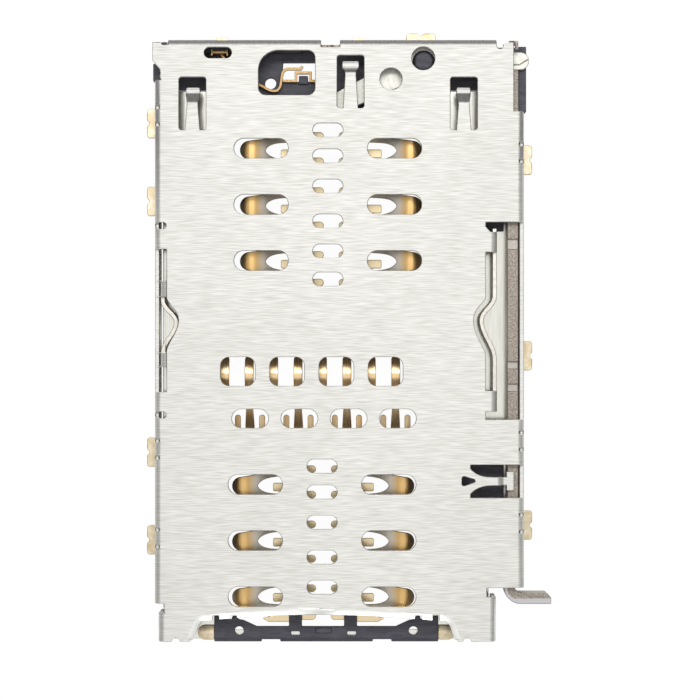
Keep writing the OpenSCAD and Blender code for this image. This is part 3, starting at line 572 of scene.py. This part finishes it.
# %% [markdown]
# ## Floor sheet and lever: plain stainless
#
# These two are stamped from plain rolled strip. Rolling leaves a bright skin with faint lines
# along the strip, fainter than those of the brushed cover.

# %% Rolled steel
# Bright rolled stainless: even and slightly warm, smooth enough to send light straight back up
# through a narrow slot, with hair lines along the roll.
rolled, tree, shader = new_material("stainless_steel_rolled", {"Metallic": 1})
where = add(tree, "ShaderNodeTexCoord")
# Roll lines are a few microns wide; they are drawn wider so that they show.
ROLL_WIDTH, ROLL_LENGTH = 0.05, 2
along = add(tree, "ShaderNodeMapping", {"Scale": per_mm(ROLL_WIDTH, ROLL_LENGTH, ROLL_LENGTH)}, {
    "Vector": where.outputs["Object"]})
lines = add(tree, "ShaderNodeTexNoise", {"Scale": 1, "Detail": 2}, {"Vector": along.outputs[0]})
tint = add(tree, "ShaderNodeValToRGB", links={"Fac": lines.outputs["Fac"]})
tint.color_ramp.elements[0].position, tint.color_ramp.elements[0].color = 0.3, colour("e6e4d9")
tint.color_ramp.elements[1].position, tint.color_ramp.elements[1].color = 0.7, colour("f8f7ef")
tree.links.new(tint.outputs["Color"], shader.inputs["Base Color"])
dull = add(tree, "ShaderNodeMapRange", {"To Min": 0.1, "To Max": 0.24}, {"Value": lines.outputs["Fac"]})
tree.links.new(dull.outputs[0], shader.inputs["Roughness"])
ridges = add(tree, "ShaderNodeBump", {"Strength": 0.15, "Distance": 1e-6}, {"Height": lines.outputs["Fac"]})
tree.links.new(ridges.outputs[0], shader.inputs["Normal"])
print("roll lines drawn at, mm:", ROLL_WIDTH)


# %% Floor sheet piece
def plain_piece(node, width, name, body, materials, sharp=SHARP_ANGLE):
    return dress(softened(merged(node), node, width, sharp), name, node, body, materials)


SHEET_EDGE = 0.03 * MM
floor_sheet = plain_piece("base_plate", SHEET_EDGE, "floor_sheet", "socket", [rolled])
print("floor sheet faces:", len(floor_sheet.data.polygons))

# %% [markdown]
# The lever is tumbled with stones after blanking, which takes its burrs off and leaves it duller.

# %% Tumbled steel
# Tumbled stainless: pale warm grey without direction, mottled where stones struck it.
tumbled, tree, shader = new_material("stainless_steel_tumbled", {"Metallic": 1, "Roughness": 0.55})
where = add(tree, "ShaderNodeTexCoord")
DENT_WIDTH = 0.15
dents = add(tree, "ShaderNodeTexNoise", {"Scale": 1 / (DENT_WIDTH * MM), "Detail": 3}, {
    "Vector": where.outputs["Object"]})
tint = add(tree, "ShaderNodeValToRGB", links={"Fac": dents.outputs["Fac"]})
tint.color_ramp.elements[0].position, tint.color_ramp.elements[0].color = 0.3, colour("d3d1c8")
tint.color_ramp.elements[1].position, tint.color_ramp.elements[1].color = 0.7, colour("ecebe3")
tree.links.new(tint.outputs["Color"], shader.inputs["Base Color"])
ridges = add(tree, "ShaderNodeBump", {"Strength": 0.3, "Distance": 5e-6}, {"Height": dents.outputs["Fac"]})
tree.links.new(ridges.outputs[0], shader.inputs["Normal"])
print("dents of the stones, mm:", DENT_WIDTH)

# %% Lever piece
LEVER_EDGE = 0.045 * MM
lever = plain_piece("eject_lever", LEVER_EDGE, "lever", "lever", [tumbled])
print("lever faces:", len(lever.data.polygons))

# %% [markdown]
# ## Moulding: black liquid crystal polymer
#
# Walls this thin are moulded in a glass-filled polymer that flows like water. The mould is spark
# eroded, so the skin is matt with a grain of a few hundredths of a millimetre, and the fibres leave
# faint grey flow streaks.

# %% Black moulding
# Glass-filled polymer: blue-black, matt, a little greyer where fibres reach the skin.
moulded, tree, shader = new_material("liquid_crystal_polymer_moulded", {"Metallic": 0, "IOR": 1.6})
where = add(tree, "ShaderNodeTexCoord")
SPARK_GRAIN = 0.06
fine = add(tree, "ShaderNodeTexNoise", {"Scale": 1 / (SPARK_GRAIN * MM), "Detail": 3}, {
    "Vector": where.outputs["Object"]})
FLOW_WIDTH, FLOW_LENGTH = 0.2, 0.8
flow = add(tree, "ShaderNodeMapping", {"Scale": per_mm(FLOW_LENGTH, FLOW_WIDTH, FLOW_LENGTH)}, {
    "Vector": where.outputs["Object"]})
streaks = add(tree, "ShaderNodeTexNoise", {"Scale": 1, "Detail": 3, "Distortion": 0.8}, {
    "Vector": flow.outputs[0]})
tint = add(tree, "ShaderNodeValToRGB", links={"Fac": streaks.outputs["Fac"]})
tint.color_ramp.elements[0].position, tint.color_ramp.elements[0].color = 0.35, colour("3c3c46")
tint.color_ramp.elements[1].position, tint.color_ramp.elements[1].color = 0.72, colour("55545e")
tree.links.new(tint.outputs["Color"], shader.inputs["Base Color"])
dull = add(tree, "ShaderNodeMapRange", {"To Min": 0.5, "To Max": 0.75}, {"Value": fine.outputs["Fac"]})
tree.links.new(dull.outputs[0], shader.inputs["Roughness"])
ridges = add(tree, "ShaderNodeBump", {"Strength": 0.5, "Distance": 8e-6}, {"Height": fine.outputs["Fac"]})
tree.links.new(ridges.outputs[0], shader.inputs["Normal"])
print("spark-eroded grain, mm:", SPARK_GRAIN)

# %% Moulding piece
MOULD_EDGE = 0.04 * MM
moulding = plain_piece("base_housing", MOULD_EDGE, "moulding", "socket", [moulded])
print("moulding faces:", len(moulding.data.polygons))

# %% [markdown]
# ## Contacts: copper alloy with selective plating
#
# A contact is blanked from springy copper strip that was plated in bands: gold on the crest that
# touches the card, bare nickel on the arm, and a gold flash on the tail that is soldered. Height
# above the board tells the bands apart, so one colour ramp on Z paints all of them. The blanked
# edges show the copper itself.

# %% Plated copper strip
# Bands of gold, nickel and flash on one strip: warm gold above, warm grey arm, cream tail.
plated, tree, shader = new_material("copper_strip_gold_on_nickel", {"Metallic": 1})
where = add(tree, "ShaderNodeTexCoord")
place = add(tree, "ShaderNodeSeparateXYZ", links={0: where.outputs["Object"]})
# The edge of a band wanders up and down a little, and the bands share the height of the strip.
WANDER_WIDTH, WANDER_HEIGHT = 0.4, 0.1
LOWEST, HIGHEST = 0.05, 1.05
wander = add(tree, "ShaderNodeTexNoise", {"Scale": 1 / (WANDER_WIDTH * MM), "Detail": 2}, {
    "Vector": where.outputs["Object"]})
edge_of_band = add(tree, "ShaderNodeMath", {"operation": "MULTIPLY_ADD", 1: WANDER_HEIGHT * MM}, {
    0: wander.outputs["Fac"], 2: place.outputs["Z"]})
level = add(tree, "ShaderNodeMapRange", {"From Min": LOWEST * MM, "From Max": HIGHEST * MM}, {
    "Value": edge_of_band.outputs[0]})
bands = add(tree, "ShaderNodeValToRGB", links={"Fac": level.outputs[0]})
bands.color_ramp.elements[0].position, bands.color_ramp.elements[0].color = 0.16, colour("f3dfb6")
bands.color_ramp.elements[1].position, bands.color_ramp.elements[1].color = 0.86, colour("e7c080")
for position, tone in ((0.26, "e2d9cc"), (0.7, "e4dbcd")):
    bands.color_ramp.elements.new(position).color = colour(tone)
tree.links.new(bands.outputs["Color"], shader.inputs["Base Color"])
# The strip's own grain is a few microns wide; it is drawn wider so that it shows.
STRIP_GRAIN = 0.04
fine = add(tree, "ShaderNodeTexNoise", {"Scale": 1 / (STRIP_GRAIN * MM), "Detail": 2}, {
    "Vector": where.outputs["Object"]})
dull = add(tree, "ShaderNodeMapRange", {"To Min": 0.26, "To Max": 0.4}, {"Value": fine.outputs["Fac"]})
# The flat tail is flattened again by the press, which polishes it.
polished = add(tree, "ShaderNodeMapRange", {
    "From Min": 0.14, "From Max": 0.24, "To Min": 0.7, "To Max": 1}, {"Value": level.outputs[0]})
sheen = add(tree, "ShaderNodeMath", {"operation": "MULTIPLY"}, {0: dull.outputs[0], 1: polished.outputs[0]})
tree.links.new(sheen.outputs[0], shader.inputs["Roughness"])
print("plating bands:", len(bands.color_ramp.elements))

# %% Blanked copper edge
# Sheared copper alloy: brown where it tore, paler where the punch burnished it.
sheared, tree, shader = new_material("copper_alloy_sheared", {"Metallic": 1, "Roughness": 0.5})
where = add(tree, "ShaderNodeTexCoord")
# Its grains are near 0.01 mm; they are drawn larger so that they show from close by.
COPPER_GRAIN = 0.03
tear = add(tree, "ShaderNodeTexNoise", {"Scale": 1 / (COPPER_GRAIN * MM), "Detail": 2}, {
    "Vector": where.outputs["Object"]})
tint = add(tree, "ShaderNodeValToRGB", links={"Fac": tear.outputs["Fac"]})
tint.color_ramp.elements[0].position, tint.color_ramp.elements[0].color = 0.35, colour("9c794a")
tint.color_ramp.elements[1].position, tint.color_ramp.elements[1].color = 0.7, colour("e2c493")
tree.links.new(tint.outputs["Color"], shader.inputs["Base Color"])
print("torn copper drawn at, mm:", COPPER_GRAIN)

# %% Contact pieces of the small cards
STRIP_EDGE = 0.035 * MM
UPRIGHT = 0.25


def contact_piece(node, plating):
    bm = softened(merged(node), node, STRIP_EDGE)
    for face in bm.faces:
        face.material_index = 1 if abs(face.normal.z) < UPRIGHT else 0
    dress(bm, node.replace("contact", "spring"), node, "socket", [plating, sheared])


sim_contacts = [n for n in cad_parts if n.startswith(("upper_", "lower_"))]
for node in sim_contacts:
    contact_piece(node, plated)
print("contacts of the small cards:", len(sim_contacts))

# %% [markdown]
# The memory card contacts are narrow strips with gold all over, deeper in tone than the flash.

# %% Gold strip
# Gold over the whole strip: deep yellow, brown where it mirrors the dark cover.
gilded, tree, shader = new_material("copper_strip_gold_all_over", {"Metallic": 1})
where = add(tree, "ShaderNodeTexCoord")
# Rolling lines of a few microns run along the strip; they are drawn wider so that they show.
GILT_WIDTH, GILT_LENGTH = 0.04, 0.8
along = add(tree, "ShaderNodeMapping", {"Scale": per_mm(GILT_WIDTH, GILT_LENGTH, GILT_LENGTH)}, {
    "Vector": where.outputs["Object"]})
lines = add(tree, "ShaderNodeTexNoise", {"Scale": 1, "Detail": 2}, {"Vector": along.outputs[0]})
tint = add(tree, "ShaderNodeValToRGB", links={"Fac": lines.outputs["Fac"]})
tint.color_ramp.elements[0].position, tint.color_ramp.elements[0].color = 0.3, colour("e3b678")
tint.color_ramp.elements[1].position, tint.color_ramp.elements[1].color = 0.7, colour("fae5be")
tree.links.new(tint.outputs["Color"], shader.inputs["Base Color"])
dull = add(tree, "ShaderNodeMapRange", {"To Min": 0.28, "To Max": 0.42}, {"Value": lines.outputs["Fac"]})
tree.links.new(dull.outputs[0], shader.inputs["Roughness"])
print("rolling lines drawn at, mm:", GILT_WIDTH)

# %% Memory card contacts
card_contacts = [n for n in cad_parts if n.startswith("card_")]
for node in card_contacts:
    contact_piece(node, gilded)
print("memory card contacts:", len(card_contacts))

# %% [markdown]
# ## Tray switch and front anchors
#
# The switch is two strips on edge: a long bent spring and a fixed strip folded like a hat. Gold
# covers their sides, and from above one sees their blanked edges in brown copper. The anchors beside
# the front bar are small gold-flashed clips.

# %% Switch and anchors
SWITCH_STRIPS = {"detect_spring": "switch_spring", "detect_terminal": "switch_terminal"}
SWITCH_EDGE = 0.02 * MM
MOSTLY_UP, FOOT_TOP = 0.5, 0.2 * MM
for node, name in SWITCH_STRIPS.items():
    bm = softened(merged(node), node, SWITCH_EDGE)
    for face in bm.faces:
        blanked = face.normal.z > MOSTLY_UP and face.calc_center_median().z > FOOT_TOP
        face.material_index = 1 if blanked else 0
    dress(bm, name, node, "socket", [gilded, sheared])
for side in ("left", "right"):
    plain_piece("front_anchor_" + side, SWITCH_EDGE, "anchor_" + side, "socket", [flash])
print("switch strips:", len(SWITCH_STRIPS))

# %% [markdown]
# ## Push rod: thick steel strip on edge
#
# The rod is blanked from strip half a millimetre thick and stands on its edge, so its upper face is
# the cut one: torn all along, but rubbed smooth on the outer half of the hook, where a tool pushes
# it. How far a point lies from the inside of the bend tells the two apart. Three shallow recesses
# are coined into the cut face, and their floors are drawn paler; height tells those.

# %% Sheared steel
# Cut edge of steel: tan torn grains, a cool burnished band round the hook, paler recess floors.
cut_steel, tree, shader = new_material("stainless_steel_sheared", {"Metallic": 1})
where = add(tree, "ShaderNodeTexCoord")
INSIDE_OF_BEND = (8.78 * MM, -11.28 * MM, 0)
away = add(tree, "ShaderNodeVectorMath", {"operation": "SUBTRACT", 0: INSIDE_OF_BEND}, {
    1: where.outputs["Object"]})
away = add(tree, "ShaderNodeVectorMath", {"operation": "MAXIMUM", 1: (0, 0, 0)}, {0: away.outputs[0]})
away = add(tree, "ShaderNodeVectorMath", {"operation": "MULTIPLY", 1: (1, 1, 0)}, {0: away.outputs[0]})
across = add(tree, "ShaderNodeVectorMath", {"operation": "LENGTH"}, {0: away.outputs[0]})
# Torn grains are near 0.02 mm; they are drawn larger so that they show.
ROD_GRAIN = 0.07
grit = add(tree, "ShaderNodeTexNoise", {"Scale": 1 / (ROD_GRAIN * MM), "Detail": 3}, {
    "Vector": where.outputs["Object"]})
# The burnished half has a ragged border.
BORDER_START, BORDER_END, RAGGED = 0.47 * MM, 0.53 * MM, 0.12 * MM
ragged = add(tree, "ShaderNodeMath", {"operation": "MULTIPLY_ADD", 1: RAGGED}, {
    0: grit.outputs["Fac"], 2: across.outputs["Value"]})
burnished = add(tree, "ShaderNodeMapRange", {"From Min": BORDER_START, "From Max": BORDER_END}, {
    "Value": ragged.outputs[0]})
tint = add(tree, "ShaderNodeValToRGB", links={"Fac": grit.outputs["Fac"]})
tint.color_ramp.elements[0].position, tint.color_ramp.elements[0].color = 0.36, colour("8c8177")
tint.color_ramp.elements[1].position, tint.color_ramp.elements[1].color = 0.64, colour("c9c0b6")
two_halves = add(tree, "ShaderNodeMix", {"data_type": "RGBA", 7: colour("d3d1d3")}, {
    0: burnished.outputs[0], 6: tint.outputs["Color"]})
ROD_TOP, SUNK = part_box("push_rod")[1][2], 0.06 * MM
height = add(tree, "ShaderNodeSeparateXYZ", links={0: where.outputs["Object"]})
sunk = add(tree, "ShaderNodeMapRange", {
    "From Min": ROD_TOP, "From Max": ROD_TOP - SUNK, "To Max": 0.6}, {"Value": height.outputs["Z"]})
paler_recess_floors = add(tree, "ShaderNodeMix", {"data_type": "RGBA", 7: colour("d8d4cd")}, {
    0: sunk.outputs[0], 6: two_halves.outputs[2]})
tree.links.new(paler_recess_floors.outputs[2], shader.inputs["Base Color"])
dull = add(tree, "ShaderNodeMapRange", {"To Min": 0.62, "To Max": 0.42}, {"Value": burnished.outputs[0]})
tree.links.new(dull.outputs[0], shader.inputs["Roughness"])
ridges = add(tree, "ShaderNodeBump", {"Strength": 0.5, "Distance": 5e-6}, {"Height": grit.outputs["Fac"]})
tree.links.new(ridges.outputs[0], shader.inputs["Normal"])
print("torn steel drawn at, mm:", ROD_GRAIN)

# %% Rod piece
ROD_EDGE, ROD_SHARP_ANGLE = 0.05 * MM, 40
rod = plain_piece("push_rod", ROD_EDGE, "rod", "rod", [cut_steel], ROD_SHARP_ANGLE)
print("rod faces:", len(rod.data.polygons))
